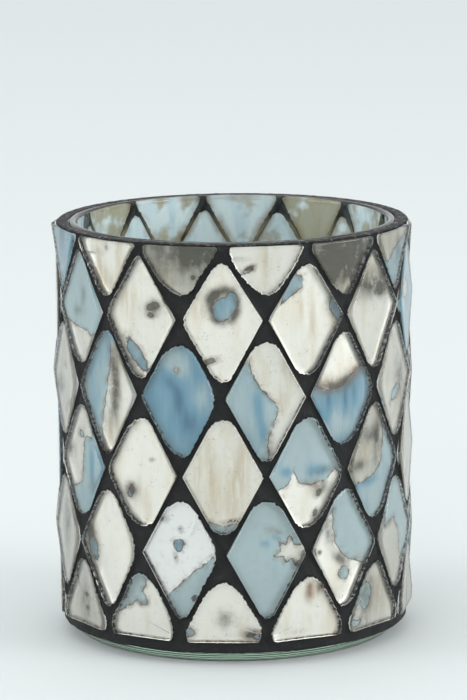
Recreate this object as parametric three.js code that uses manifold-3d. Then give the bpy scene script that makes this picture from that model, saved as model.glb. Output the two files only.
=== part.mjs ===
// Mosaic glass candle holder: a straight clear glass cup, clad in flat diamond tiles of silvered glass
// that are set in dark grout. Millimetres, +Z up, origin at the middle of the foot.
import * as THREE from "three";
import { mergeVertices } from "three/addons/utils/BufferGeometryUtils.js";
import Module from "manifold-3d";

const wasm = await Module();
wasm.setup();

// Driving dimensions
const clearance = 0.3; // between pieces that touch, where the adhesive is

const cupRadius = 40.2; // outside of the glass
const cupHeight = 102.4;
const cupWall = 2;
const cupFloor = 5;
const footRadius = 37.6; // of the flat that stands on the table
const footRise = 2.6; // height of the rounding round the foot
const wellFillet = 4; // between the inside wall and the floor
const lipDrop = 1.6; // height of the rounding on the inside of the lip

const columns = 13; // tiles in each row
const fullRows = 4;
const firstColumn = (-17.35 * Math.PI) / 180; // turn of the first column about the axis, from -Y towards +X
const tileThickness = 3;
const tileJoint = 1.1; // between the backs of two neighbouring tiles
const tipRadius = 3.2; // rounding of a tile's top and bottom corners
const sideRadius = 1; // rounding of its side corners
const baseLevel = 8.3; // height of the widest part of the lowest half tiles
const baseCut = 5.8; // height of their cut edge
const topRise = 16.7; // the top half tiles' level above the first full row
const topLevelDrop = 1.5; // that level below the lip
const topCutDrop = 0.7; // the top half tiles' cut edge below the lip

const groutSink = 0.8; // depth of the grout's surface below the tiles' faces
const groutStart = 2.9; // height of the grout's lower edge
const groutEdge = 0.5; // rounding of that edge
const rimSink = 0.3; // the grout's rim bead behind the tiles' faces
const rimCrown = 1; // width of the bead's rounding
const bandHeight = 1; // of the adhesive that joins a ring of half tiles
const bandDepth = 0.9;

const segments = columns * 4; // round the glass cup
const groutSegments = columns * 3; // round the grout, whose many openings multiply them
const arcSteps = 4; // in a quarter turn of a profile
const cornerSteps = 2; // in a rounded corner of a tile
const weldDistance = 1e-4; // points closer than this are one

// Derived sizes
const bondRadius = cupRadius + clearance; // where the tiles' backs and the grout begin
const faceRadius = bondRadius + tileThickness; // from the axis to the flat face of a tile
const groutRadius = faceRadius - groutSink;
const rimRadius = faceRadius - rimSink;
const halfTurn = Math.PI / columns; // between a column and the next one, which is half a tile higher
const topLevel = cupHeight - topLevelDrop;
const topCut = cupHeight - topCutDrop;
const rowRise = (topLevel - topRise - baseLevel) / fullRows; // between the levels of two rows
const rimStart = topCut + clearance;
const deepInside = bondRadius / 2; // a cutting shape starts here, well inside the cup
const farOutside = faceRadius * 2; // and ends here, or at this height, beyond every piece

const glass = new THREE.MeshStandardMaterial({ color: 0xc9d8d0, roughness: 0.05, metalness: 0 });
const silver = new THREE.MeshStandardMaterial({ color: 0xd9d5c8, roughness: 0.25, metalness: 0.6 });
const blueSilver = new THREE.MeshStandardMaterial({ color: 0x9fb6c4, roughness: 0.25, metalness: 0.4 });
const darkGrout = new THREE.MeshStandardMaterial({ color: 0x232325, roughness: 0.8, metalness: 0 });

// Points on the ellipse about (x, y) with half axes rx and ry, from angle a0 to a1 in quarter turns.
function arc(x, y, rx, ry, a0, a1) {
  const turn = Math.PI / 2;
  return Array.from({ length: arcSteps + 1 }, (_, i) => {
    const angle = turn * (a0 + ((a1 - a0) * i) / arcSteps);
    return new THREE.Vector2(x + rx * Math.cos(angle), y + ry * Math.sin(angle));
  });
}

// Turns a closed profile of (radius, height) points, given from the bottom up the outside, round the Z axis.
function turned(profile, steps) {
  return new THREE.LatheGeometry([...profile, profile[0]], steps).rotateX(Math.PI / 2);
}

function solidOf(geometry) {
  const bare = new THREE.BufferGeometry().setAttribute("position", geometry.getAttribute("position"));
  if (geometry.index) bare.setIndex(geometry.index);
  const merged = mergeVertices(bare, weldDistance);
  return new wasm.Manifold(
    new wasm.Mesh({
      numProp: 3,
      vertProperties: merged.attributes.position.array,
      triVerts: new Uint32Array(merged.index.array),
    }),
  );
}

function geometryOf(solid) {
  const mesh = solid.getMesh();
  return new THREE.BufferGeometry()
    .setAttribute("position", new THREE.BufferAttribute(new Float32Array(mesh.vertProperties), 3))
    .setIndex(new THREE.BufferAttribute(new Uint32Array(mesh.triVerts), 1));
}

// A corner of a tile: the arc of the given radius whose edges run to the two neighbouring corners.
function roundCorner(corner, before, after, radius) {
  const toBefore = before.clone().sub(corner).normalize();
  const toAfter = after.clone().sub(corner).normalize();
  const halfAngle = toBefore.angleTo(toAfter) / 2;
  const inward = toBefore.clone().add(toAfter).normalize();
  const centre = inward.clone().multiplyScalar(radius / Math.sin(halfAngle)).add(corner);
  const middle = Math.atan2(-inward.y, -inward.x);
  const sweep = Math.PI / 2 - halfAngle;
  const start = middle - sweep;
  return Array.from({ length: cornerSteps + 1 }, (_, i) => {
    const angle = start + (2 * sweep * i) / cornerSteps;
    return new THREE.Vector2(radius * Math.cos(angle), radius * Math.sin(angle)).add(centre);
  });
}

// The outline of a tile about its level: a diamond set back from the edges of its cell by half a joint,
// less spare. rise and fall are the heights of the rows above and below.
function tileOutline(rise, fall, spare) {
  const halfWidth = bondRadius * Math.tan(halfTurn);
  const shrink = (height) =>
    1 - ((tileJoint / 2 - spare) * Math.hypot(halfWidth, height)) / (halfWidth * height);
  const width = halfWidth * Math.min(shrink(rise), shrink(fall));
  const right = new THREE.Vector2(width, 0);
  const top = new THREE.Vector2(0, rise * shrink(rise));
  const left = new THREE.Vector2(-width, 0);
  const bottom = new THREE.Vector2(0, -fall * shrink(fall));
  return new THREE.Shape([
    ...roundCorner(right, bottom, top, sideRadius),
    ...roundCorner(top, right, left, tipRadius),
    ...roundCorner(left, top, bottom, sideRadius),
    ...roundCorner(bottom, left, right, tipRadius),
  ]);
}

// The prism of a tile on the cup: its outline stands on the plane at radius from,
// and it runs out to radius to.
function tileGeometry(cell, from, to, spare) {
  const outline = tileOutline(cell.rise, cell.fall, spare);
  const geometry = new THREE.ExtrudeGeometry(outline, { depth: to - from, bevelEnabled: false });
  return geometry
    .translate(0, 0, from)
    .rotateX(Math.PI / 2)
    .rotateZ(cell.turn)
    .translate(0, 0, cell.level);
}

// Row 0 is the half tiles at the top, whose level is just below the lip, and the last row those at the base.
function cellsOfRow(row) {
  const level = row === 0 ? topLevel : baseLevel + (fullRows + 1 - row) * rowRise;
  const rise = row <= 1 ? topRise : rowRise;
  const fall = row === 0 ? topRise : rowRise;
  return Array.from({ length: columns }, (_, column) => ({
    level,
    rise,
    fall,
    turn: firstColumn + halfTurn * (2 * column + (row % 2)),
  }));
}

function band(low, high, inner, outer) {
  const profile = [
    new THREE.Vector2(inner, low),
    new THREE.Vector2(outer, low),
    new THREE.Vector2(outer, high),
    new THREE.Vector2(inner, high),
  ];
  return turned(profile, groutSegments);
}

// A ring of half tiles, kept between two heights, and the thin band of adhesive behind them that holds them.
function halfTileRing(cells, low, high, bandLow, spare) {
  const slice = solidOf(band(low - spare, high + spare, deepInside, farOutside));
  const bandInner = spare ? bondRadius - clearance : bondRadius;
  const bond = solidOf(
    band(bandLow - spare, bandLow + bandHeight + spare, bandInner, bondRadius + bandDepth + spare),
  );
  return cells
    .map((cell) => solidOf(tileGeometry(cell, bondRadius - spare, faceRadius + spare, spare)))
    .map((tile) => tile.intersect(slice))
    .reduce((all, tile) => all.add(tile), bond);
}

function glassCup() {
  const inside = cupRadius - cupWall;
  const profile = [
    new THREE.Vector2(0, 0),
    ...arc(footRadius, footRise, cupRadius - footRadius, footRise, -1, 0),
    new THREE.Vector2(cupRadius, cupHeight),
    ...arc(cupRadius - cupWall / 2, cupHeight - lipDrop, -cupWall / 2, lipDrop, 1, 0),
    ...arc(inside - wellFillet, cupFloor + wellFillet, wellFillet, -wellFillet, 0, 1),
    new THREE.Vector2(0, cupFloor),
  ];
  return turned(profile, segments);
}

function groutSleeve() {
  const profile = [
    new THREE.Vector2(bondRadius, groutStart),
    ...arc(groutRadius - groutEdge, groutStart + groutEdge, groutEdge, groutEdge, -1, 0),
    new THREE.Vector2(groutRadius, rimStart),
    new THREE.Vector2(rimRadius, rimStart),
    ...arc(rimRadius - rimCrown, rimStart, rimCrown, cupHeight - rimStart, 0, 1).slice(1),
    new THREE.Vector2(bondRadius, cupHeight),
  ];
  return turned(profile, groutSegments);
}

const topCells = cellsOfRow(0);
const baseCells = cellsOfRow(fullRows + 1);
const topBand = topCut - 2 * bandHeight;
const baseBand = baseCut + bandHeight;
const fullCells = Array.from({ length: fullRows }, (_, i) => cellsOfRow(i + 1));

// The grout fills what the tiles and the adhesive bands leave free. A half tile's own opening
// ends at its cut, and reaches as deep as the others.
function groutMesh() {
  const opening = (cell) => solidOf(tileGeometry(cell, deepInside, faceRadius + groutSink, clearance));
  const belowRim = solidOf(band(0, rimStart, 0, farOutside));
  const aboveBase = solidOf(band(baseCut - clearance, cupHeight + farOutside, 0, farOutside));
  const rings = [
    halfTileRing(topCells, 0, topCut, topBand, clearance),
    halfTileRing(baseCells, baseCut, cupHeight, baseBand, clearance),
    ...topCells.map((cell) => opening(cell).intersect(belowRim)),
    ...baseCells.map((cell) => opening(cell).intersect(aboveBase)),
  ];
  const cuts = [...rings, ...fullCells.flat().map(opening)];
  return geometryOf(cuts.reduce((grout, cut) => grout.subtract(cut), solidOf(groutSleeve())));
}

const holder = new THREE.Group();

function addMesh(name, geometry, material) {
  const mesh = new THREE.Mesh(geometry, material);
  mesh.name = name;
  holder.add(mesh);
}

addMesh("glass_cup", glassCup(), glass);
addMesh("grout", groutMesh(), darkGrout);
addMesh("top_half_tiles", geometryOf(halfTileRing(topCells, 0, topCut, topBand, 0)), silver);
addMesh("base_half_tiles", geometryOf(halfTileRing(baseCells, baseCut, cupHeight, baseBand, 0)), silver);
fullCells.forEach((cells, row) => {
  cells.forEach((cell, column) => {
    const name = `tile_row${row + 1}_${String(column + 1).padStart(2, "0")}`;
    addMesh(name, tileGeometry(cell, bondRadius, faceRadius, 0), (row + column) % 3 ? silver : blueSilver);
  });
});

export default holder;
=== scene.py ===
import math

import bmesh
import bpy
import numpy as np
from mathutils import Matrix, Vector


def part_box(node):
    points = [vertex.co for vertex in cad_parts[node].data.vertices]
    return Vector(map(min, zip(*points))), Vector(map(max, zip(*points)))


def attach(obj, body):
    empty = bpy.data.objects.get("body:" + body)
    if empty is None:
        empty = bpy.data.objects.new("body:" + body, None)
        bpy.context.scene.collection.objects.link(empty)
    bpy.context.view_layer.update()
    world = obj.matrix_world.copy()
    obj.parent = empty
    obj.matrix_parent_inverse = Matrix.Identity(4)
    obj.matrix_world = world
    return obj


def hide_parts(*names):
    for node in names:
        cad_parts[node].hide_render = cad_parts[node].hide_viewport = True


# Mosaic candle holder: a clear glass cup with diamond tiles of antiqued silvered glass in dark grout.
# Lengths in the dictionaries are millimetres, but the floor's and the lamps' are metres, as meshes are.

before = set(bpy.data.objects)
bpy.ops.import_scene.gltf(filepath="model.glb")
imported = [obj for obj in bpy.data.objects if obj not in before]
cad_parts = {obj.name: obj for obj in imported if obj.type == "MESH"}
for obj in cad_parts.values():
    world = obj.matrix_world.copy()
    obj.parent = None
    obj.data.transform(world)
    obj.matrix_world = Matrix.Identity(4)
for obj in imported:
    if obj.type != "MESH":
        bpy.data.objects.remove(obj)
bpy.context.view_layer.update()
mm = 0.001
print("frame loaded:", len(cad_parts), "nodes")


studio = {
    "lens": 215.4,
    "distance": 1034.8,
    "elevation": 10.36,
    "roll": 0.497,
    "aim": (0.12, 0.0, 69.3),
    "floorSize": 8.0,
    "floorRough": 0.7,
    "lampAim": (0, 0, 0.05),
    "floorColour": (0.70, 0.738, 0.740, 1),
    "worldColour": (0.92, 0.945, 0.95, 1),
    "worldStrength": 1.0,
}

lamps = {
    "topLight": {"place": (-0.4, -0.2, 1.6), "size": 1.4, "power": 2.8, "colour": (1, 1, 1)},
    "frontLight": {"place": (-0.6, -2.3, 0.7), "size": 1.7, "power": 13, "colour": (1, 0.985, 0.95)},
    "rightLight": {"place": (2.0, -0.9, 0.6), "size": 1.3, "power": 26, "colour": (1, 1, 1)},
    "leftLight": {"place": (-2.0, -0.5, 0.6), "size": 1.2, "power": 14, "colour": (0.97, 0.99, 1)},
}


def makeCamera():
    elevation = math.radians(studio["elevation"])
    back = np.array([0.0, -math.cos(elevation), math.sin(elevation)])
    data = bpy.data.cameras.new("camera")
    data.lens = studio["lens"]
    data.sensor_width = 36
    camera = bpy.data.objects.new("camera", data)
    bpy.context.scene.collection.objects.link(camera)
    camera.location = np.array(studio["aim"]) * mm + back * studio["distance"] * mm
    camera.rotation_euler = (math.radians(90) - elevation, 0, 0)
    camera.rotation_mode = "XYZ"
    camera.rotation_euler.rotate_axis("Z", -math.radians(studio["roll"]))
    bpy.context.scene.camera = camera


def makeLamp(name, lamp):
    data = bpy.data.lights.new(name, "AREA")
    data.shape = "DISK"
    data.size = lamp["size"]
    data.energy = lamp["power"]
    data.color = lamp["colour"]
    made = bpy.data.objects.new(name, data)
    bpy.context.scene.collection.objects.link(made)
    made.location = lamp["place"]
    made.rotation_euler = (Vector(studio["lampAim"]) - made.location).to_track_quat("-Z", "Y").to_euler()


def makeStudio():
    world = bpy.data.worlds.new("softStudio")
    bpy.context.scene.world = world
    world.use_nodes = True
    background = world.node_tree.nodes["Background"]
    background.inputs["Color"].default_value = studio["worldColour"]
    background.inputs["Strength"].default_value = studio["worldStrength"]
    for name, lamp in lamps.items():
        makeLamp(name, lamp)
    bpy.context.scene.view_settings.view_transform = "Standard"
    half = studio["floorSize"] / 2
    mesh = bpy.data.meshes.new("floor")
    mesh.from_pydata(
        [(-half, -half, 0), (half, -half, 0), (half, half, 0), (-half, half, 0)], [], [(0, 1, 2, 3)]
    )
    floor = bpy.data.objects.new("floor", mesh)
    bpy.context.scene.collection.objects.link(floor)
    paper = bpy.data.materials.new("paleFloor")
    paper.use_nodes = True
    skin = paper.node_tree.nodes["Principled BSDF"]
    skin.inputs["Base Color"].default_value = studio["floorColour"]
    skin.inputs["Roughness"].default_value = studio["floorRough"]
    mesh.materials.append(paper)


makeCamera()
makeStudio()
print("camera, floor and lights made")


def nodePoints(name):
    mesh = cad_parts[name].data
    points = np.zeros(len(mesh.vertices) * 3, np.float32)
    mesh.vertices.foreach_get("co", points)
    return points.reshape(-1, 3).astype(float) / mm


def readCell(points, turn):
    # The tile's own axes are its outward normal and its tangent; the rest are its extents along them.
    normal = np.array([math.sin(turn), -math.cos(turn)])
    tangent = np.array([math.cos(turn), math.sin(turn)])
    out = points[:, :2] @ normal
    side = points[:, :2] @ tangent
    near = (np.abs(side) < out * math.tan(halfTurn * 0.98)) & (out > out.max() - 0.05)
    out, side, height = out[near], side[near], points[near, 2]
    widest = np.abs(side) > np.abs(side).max() - 0.02
    return {
        "turn": turn,
        "face": out.max(),
        "width": np.abs(side).max(),
        "level": (height[widest].max() + height[widest].min()) / 2,
        "top": height.max(),
        "bottom": height.min(),
    }


columns = sum(name.startswith("tile_row1_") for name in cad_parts)
fullRows = sum(name.endswith("_01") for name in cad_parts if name.startswith("tile_row"))
halfTurn = math.pi / columns
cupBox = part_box("glass_cup")
cupRadius = cupBox[1].x / mm
cupHeight = cupBox[1].z / mm
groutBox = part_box("grout")


def readLattice():
    first = nodePoints("tile_row2_01").mean(0)
    start = math.atan2(first[0], -first[1])
    cells = {}
    for row in range(fullRows + 2):
        for column in range(columns):
            turn = start + halfTurn * (2 * column + row % 2)
            name = {0: "top_half_tiles", fullRows + 1: "base_half_tiles"}.get(row)
            name = name or f"tile_row{row}_{column + 1:02d}"
            cell = readCell(nodePoints(name), turn)
            cell["node"] = name
            cells[row, column + 1] = cell
    levels = [cells[row, 1]["level"] for row in range(fullRows + 2)]
    for (row, column), cell in cells.items():
        cell["row"], cell["column"] = row, column
        cell["above"] = levels[row - 1] if row else None
        cell["below"] = levels[row + 1] if row <= fullRows else None
        cell["level"] = levels[row]
    return cells


cells = readLattice()
faceRadius = cells[1, 1]["face"]
print("lattice read:", columns, "columns,", fullRows, "full rows")


grout = {
    "radius": faceRadius - 0.75,
    "inner": cupRadius + 0.04,
    "climb": 0.45,  # of the grout against a tile's side
    "climbWidth": 0.35,
    "sag": 0.12,  # between two tiles
    "rings": (0.0, 0.16, 0.4, 0.7, 1.0),  # shares of the way from a tile to the cell's edge
    "rimHeight": cupHeight - 0.42,
    "rimTop": cupHeight - 0.07,
    "baseHeight": groutBox[0].z / mm + 0.8,
    "dark": (0.0085, 0.0088, 0.0095, 1),
    "dusty": (0.021, 0.021, 0.0215, 1),
    "chip": (0.30, 0.30, 0.29, 1),
    "innerBrown": (0.27, 0.235, 0.145, 1),
}

tileShape = {
    "reach": (9.5, 13.9, 9.5, 14.0),  # from the middle of a tile to its right, top, left and bottom corners
    "plump": 1.5,  # 1 is a straight-sided diamond, 2 an ellipse
    "soften": 1.2,  # rounding of its corners
    "cutSoften": 0.45,  # of a half tile's
    "cutRaise": 0.15,  # of the top half tiles' cut above the CAD's, level with the rim
    "stretch": 0.3,  # the largest random change of each reach
    "lean": 0.6,  # and of a corner sideways
    "plumpChange": (-0.04, 0.05),
    "wobble": 0.12,
    "wobbleOrders": (2, 3, 4, 5),
    "chips": 0.15,
    "chipOrders": (23, 31, 43, 54, 67),
    "margin": 0.72,  # to the cell's edge, before the corners are softened
    "leastMargin": 0.45,
    "quarter": 38,  # points along one quarter of the outline
    "cutPoints": 6,  # of them beside the cut of a half tile
    "steps": 1440,  # points round the outline while it is worked out
    "openEnd": 60,  # from the level of a half tile to the tip of its cell, if it were whole
}
rng = np.random.default_rng(7)

# Tiles with a size of their own: reach to the right, top, left and bottom, and how far the top and bottom
# corners lean. 1 stands for a corner that is cut off.
tileSizes = {
    (0, 13): (9.6, 1, 9.0, 12.6, 0, 0.3),
    (0, 1): (9.8, 1, 8.8, 10.8, 0, 0.5),
    (0, 2): (9.5, 1, 8.4, 10.9, 0, 0.7),
    (0, 3): (9.2, 1, 9.0, 12.4, 0, 0.9),
    (1, 12): (9.7, 14.0, 9.3, 13.3, 0.6, 0.4),
    (1, 13): (9.6, 14.6, 8.9, 14.7, 0.5, 0.4),
    (1, 1): (9.8, 13.7, 9.0, 14.8, 0.5, 0.6),
    (1, 2): (9.5, 12.7, 9.7, 13.8, 0.5, 0.1),
    (1, 3): (9.6, 14.2, 9.4, 14.5, 0.6, 0.3),
    (2, 13): (9.7, 14.9, 9.0, 15.2, 0.7, 0.4),
    (2, 1): (8.6, 12.8, 9.4, 14.2, 0.5, 1.1),
    (2, 2): (9.6, 13.5, 9.6, 15.3, 0.3, 0),
    (2, 3): (8.6, 14.5, 9.7, 12.9, 0.5, -0.4),
    (3, 12): (9.8, 14.4, 9.2, 13.0, 0.9, -0.6),
    (3, 13): (9.6, 13.5, 9.1, 13.0, 0.9, 0.3),
    (3, 1): (9.6, 13.9, 9.8, 13.8, 0.3, 0.1),
    (3, 2): (8.9, 13.7, 9.8, 13.1, 0.9, -0.4),
    (3, 3): (9.0, 14.9, 9.5, 13.5, 0.8, -0.4),
    (4, 13): (8.3, 13.6, 9.5, 15.4, 0.4, -0.6),
    (4, 1): (8.3, 12.9, 9.9, 15.8, 0.5, -0.6),
    (4, 2): (9.5, 12.9, 9.9, 15.6, 0.1, 0),
    (4, 3): (9.3, 14.0, 9.5, 14.6, 0.9, -0.7),
    (5, 13): (8.1, 13.4, 8.6, 1, -0.4, 0),
    (5, 1): (8.9, 12.4, 9.3, 1, 0, 0),
    (5, 2): (8.9, 12.9, 9.7, 1, 0.4, 0),
    (5, 3): (8.9, 13.6, 9.3, 1, 0.8, 0),
}


def smoothClosed(line, sigma):
    # Gaussian smoothing along a closed line of evenly spaced points, as a product in the frequency domain.
    step = np.hypot(*(np.roll(line, -1, 0) - line).T).mean()
    turns = np.fft.fftfreq(len(line))
    keep = np.exp(-2 * (math.pi * turns * sigma / step) ** 2)[:, None]
    return np.real(np.fft.ifft(np.fft.fft(line, axis=0) * keep, axis=0))


def evenPoints(line, count, closed=False):
    # Points at equal steps of arc length: the running sum of the step lengths, read at even shares of it.
    if closed:
        line = np.vstack([line, line[:1]])
    run = np.concatenate([[0], np.cumsum(np.hypot(*np.diff(line, axis=0).T))])
    at = np.linspace(0, run[-1], count + 1)
    points = np.column_stack([np.interp(at, run, line[:, 0]), np.interp(at, run, line[:, 1])])
    return points[:-1] if closed else points


def wave(count, orders, rise):
    # A smooth closed ripple: a sum of cosines of whole orders with random phases.
    angle = np.linspace(0, 2 * math.pi, count, endpoint=False)[:, None]
    phase = rng.uniform(0, 2 * math.pi, len(orders))
    return rise * (np.cos(np.array(orders) * angle + phase) / np.sqrt(len(orders))).sum(1)


def outlineNormals(line):
    ahead = np.roll(line, -1, 0) - np.roll(line, 1, 0)
    ahead /= np.hypot(*ahead.T)[:, None]
    return np.column_stack([ahead[:, 1], -ahead[:, 0]])


def insideCell(cell, line, margin):
    # The cell of the lattice is a diamond too: the share |x| / halfWidth + |y| / rise is 1 on its edge.
    # Points with a greater share than the margin leaves are drawn in towards the middle.
    halfWidth = grout["radius"] * math.sin(halfTurn)
    rise = (cell["above"] or cell["level"] + tileShape["openEnd"]) - cell["level"]
    fall = cell["level"] - (cell["below"] or cell["level"] - tileShape["openEnd"])
    height = np.where(line[:, 1] > 0, rise, fall)
    share = np.abs(line[:, 0]) / halfWidth + np.abs(line[:, 1]) / height
    room = 1 - margin * np.hypot(halfWidth, height) / (halfWidth * height)
    return line * np.minimum(1, room / np.maximum(share, 0.01))[:, None]


def drawnSizes(reach):
    change = rng.uniform(-1, 1, 4) * tileShape["stretch"]
    lean = rng.uniform(-tileShape["lean"], tileShape["lean"], 2)
    return tuple(np.array(reach) + change) + tuple(lean)


def cellOutline(cell):
    # A superellipse of its own reach in each quarter: |x / reachX|^plump + |y / reachY|^plump = 1. The
    # corners lean by the square of the height, a half tile is cut level, and the whole is kept inside its
    # cell and softened. It starts at the right corner and runs anticlockwise.
    s = tileShape
    steps = s["steps"]
    sizes = tileSizes.get((cell["row"], cell["column"])) or drawnSizes(s["reach"])
    right, top, left, bottom, leanTop, leanBottom = sizes
    plump = s["plump"] + rng.uniform(*s["plumpChange"])
    cutTop, cutBottom = cell["above"] is None, cell["below"] is None
    cut = cutTop or cutBottom
    top = s["reach"][1] if cutTop else top
    bottom = s["reach"][3] if cutBottom else bottom
    angle = np.linspace(0, 2 * math.pi, steps, endpoint=False)
    c, d = np.cos(angle), np.sin(angle)
    power = 2 / plump
    x = np.sign(c) * np.abs(c) ** power * np.where(c > 0, right, left)
    y = np.sign(d) * np.abs(d) ** power * np.where(d > 0, top, bottom)
    x += np.where(y > 0, leanTop * (y / top) ** 2, leanBottom * (y / bottom) ** 2)
    if cutTop:
        y = np.minimum(y, cell["top"] + s["cutRaise"] - cell["level"])
    if cutBottom:
        y = np.maximum(y, cell["bottom"] - cell["level"])
    line = insideCell(cell, evenPoints(np.column_stack([x, y]), steps, closed=True), s["margin"])
    line = smoothClosed(evenPoints(line, steps, closed=True), s["cutSoften"] if cut else s["soften"])
    if not cut:
        # softening draws the corners in, so each quarter is stretched back to its reach
        for way, size in ((0, right), (0, -left), (1, top), (1, -bottom)):
            farthest = (line[:, way] * np.sign(size)).max()
            side = line[:, way] * np.sign(size) > 0
            line[side, way] *= abs(size) / farthest
    uneven = wave(steps, s["wobbleOrders"], s["wobble"]) + wave(steps, s["chipOrders"], s["chips"])
    if cut:
        level = line[:, 1].max() if cutTop else line[:, 1].min()
        uneven *= np.clip(np.abs(line[:, 1] - level) / 2, 0.15, 1)
    line = insideCell(cell, line + outlineNormals(line) * uneven[:, None], s["leastMargin"])
    # four quarters from the points farthest right, up, left and down; a cut's is its middle
    corners = [int(np.argmax(line @ way)) for way in ((1, 0), (0, 1), (-1, 0), (0, -1))]
    if cutTop:
        corners[1] = int(np.argmin(np.abs(line[:, 0]) + 99 * (line[:, 1] < 0)))
    if cutBottom:
        corners[3] = int(np.argmin(np.abs(line[:, 0]) + 99 * (line[:, 1] > 0)))
    quarters = []
    for first, last in zip(corners, corners[1:] + corners[:1]):
        index = np.arange(first, last + 1 + (steps if last < first else 0)) % steps
        quarters.append(evenPoints(line[index], s["quarter"])[:-1])
    return np.vstack(quarters)


for cell in cells.values():
    cell["outline"] = cellOutline(cell)


def ringFaces(first, second, count):
    # Quads between two rings of vertex numbers that run the same way round.
    i = np.arange(count)
    j = (i + 1) % count
    return np.column_stack([first + i, first + j, second + j, second + i])


def stripFaces(count, rings):
    return np.vstack([ringFaces(i * count, (i + 1) * count, count) for i in range(rings - 1)])


def fanFaces(first, count, tip):
    # Triangles from a ring of vertex numbers to one point.
    i = np.arange(count)
    return np.column_stack([first + i, first + (i + 1) % count, np.full(count, tip)])


def makeObject(name, points, faces, materials, faceMaterial=0, smooth=True):
    mesh = bpy.data.meshes.new(name)
    mesh.from_pydata(np.asarray(points) * mm, [], faces)
    for material in materials:
        mesh.materials.append(material)
    total = len(mesh.polygons)
    mesh.polygons.foreach_set("material_index", np.broadcast_to(faceMaterial, total).astype(np.int32))
    mesh.polygons.foreach_set("use_smooth", np.broadcast_to(smooth, total).astype(bool))
    mesh.update()
    made = bpy.data.objects.new(name, mesh)
    bpy.context.scene.collection.objects.link(made)
    return made


def addAttribute(made, name, values):
    values = np.asarray(values, np.float32)
    kind, field = ("FLOAT_VECTOR", "vector") if values.ndim == 2 else ("FLOAT", "value")
    made.data.attributes.new(name, kind, "POINT").data.foreach_set(field, values.ravel())


def onTile(cell, flat, out):
    # A point (x, y) of the tile's plane at distance out from the axis.
    turn = cell["turn"]
    out = np.broadcast_to(out, len(flat))
    return np.column_stack([
        flat[:, 0] * math.cos(turn) + out * math.sin(turn),
        flat[:, 0] * math.sin(turn) - out * math.cos(turn),
        flat[:, 1] + cell["level"],
    ])


def ripple(angle, height, seed, waves, rise):
    # A bumpy field that closes round the cup: a sum of sines of whole orders round it, with random
    # orders, pitches and phases.
    picks = np.random.default_rng(seed)
    orders = picks.integers(waves[0], waves[1], waves[2]) * picks.choice([-1, 1], waves[2])
    pitch = picks.uniform(waves[0], waves[1], waves[2]) / cupRadius
    phase = picks.uniform(0, 2 * math.pi, waves[2])
    field = np.zeros(len(angle))
    for order, along, start in zip(orders, pitch, phase):
        field += np.sin(order * angle + along * height + start)
    return field * rise * math.sqrt(2 / waves[2])


def newMaterial(name):
    material = bpy.data.materials.new(name)
    material.use_nodes = True
    tree = material.node_tree
    skin = tree.nodes["Principled BSDF"]
    return material, tree, skin


def addNode(tree, kind, values=None, **settings):
    node = tree.nodes.new(kind)
    for key, value in settings.items():
        setattr(node, key, value)
    for key, value in (values or {}).items():
        if isinstance(value, bpy.types.NodeSocket):
            tree.links.new(value, node.inputs[key])
        else:
            node.inputs[key].default_value = value
    return node


def calc(tree, operation, *values, clamp=False):
    inputs = dict(enumerate(values))
    return addNode(tree, "ShaderNodeMath", inputs, operation=operation, use_clamp=clamp).outputs[0]


def blendColours(tree, factor, first, second):
    values = {0: factor, 6: first, 7: second}
    return addNode(tree, "ShaderNodeMix", values, data_type="RGBA", clamp_factor=True).outputs[2]


def stained(tree, colour, mask, strength, stain):
    return blendColours(tree, calc(tree, "MULTIPLY", mask, strength), colour, stain)


def noiseAt(tree, place, scale, detail, roughness=0.5):
    values = {"Vector": place, "Scale": scale, "Detail": detail, "Roughness": roughness}
    return addNode(tree, "ShaderNodeTexNoise", values).outputs["Fac"]


def addBump(tree, skin, height, strength, distance):
    # A bump over the one that the surface may have already.
    values = {"Strength": strength, "Distance": distance, "Height": height}
    bump = addNode(tree, "ShaderNodeBump", values)
    for link in skin.inputs["Normal"].links:
        tree.links.new(link.from_socket, bump.inputs["Normal"])
    tree.links.new(bump.outputs[0], skin.inputs["Normal"])


def makeGlassy(skin, tint, roughness=0.0):
    skin.inputs["Base Color"].default_value = tint
    skin.inputs["Roughness"].default_value = roughness
    skin.inputs["IOR"].default_value = 1.5
    skin.inputs["Transmission Weight"].default_value = 1.0


def attribute(tree, name, output="Fac"):
    return addNode(tree, "ShaderNodeAttribute", attribute_name=name).outputs[output]


def stepBetween(tree, value, low, high):
    # 0 below low, 1 above high, smooth between.
    values = {0: value, 1: low, 2: high}
    return addNode(tree, "ShaderNodeMapRange", values, interpolation_type="SMOOTHSTEP").outputs[0]


def newGroup(name, inputs, outputs):
    group = bpy.data.node_groups.new(name, "ShaderNodeTree")
    for socket, kind, value in inputs:
        made = group.interface.new_socket(socket, in_out="INPUT", socket_type=kind)
        if value is not None:
            made.default_value = value
    for socket, kind in outputs:
        group.interface.new_socket(socket, in_out="OUTPUT", socket_type=kind)
    return group, group.nodes.new("NodeGroupInput"), group.nodes.new("NodeGroupOutput")


def useGroup(tree, group, values):
    return addNode(tree, "ShaderNodeGroup", values, node_tree=group)


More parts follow.
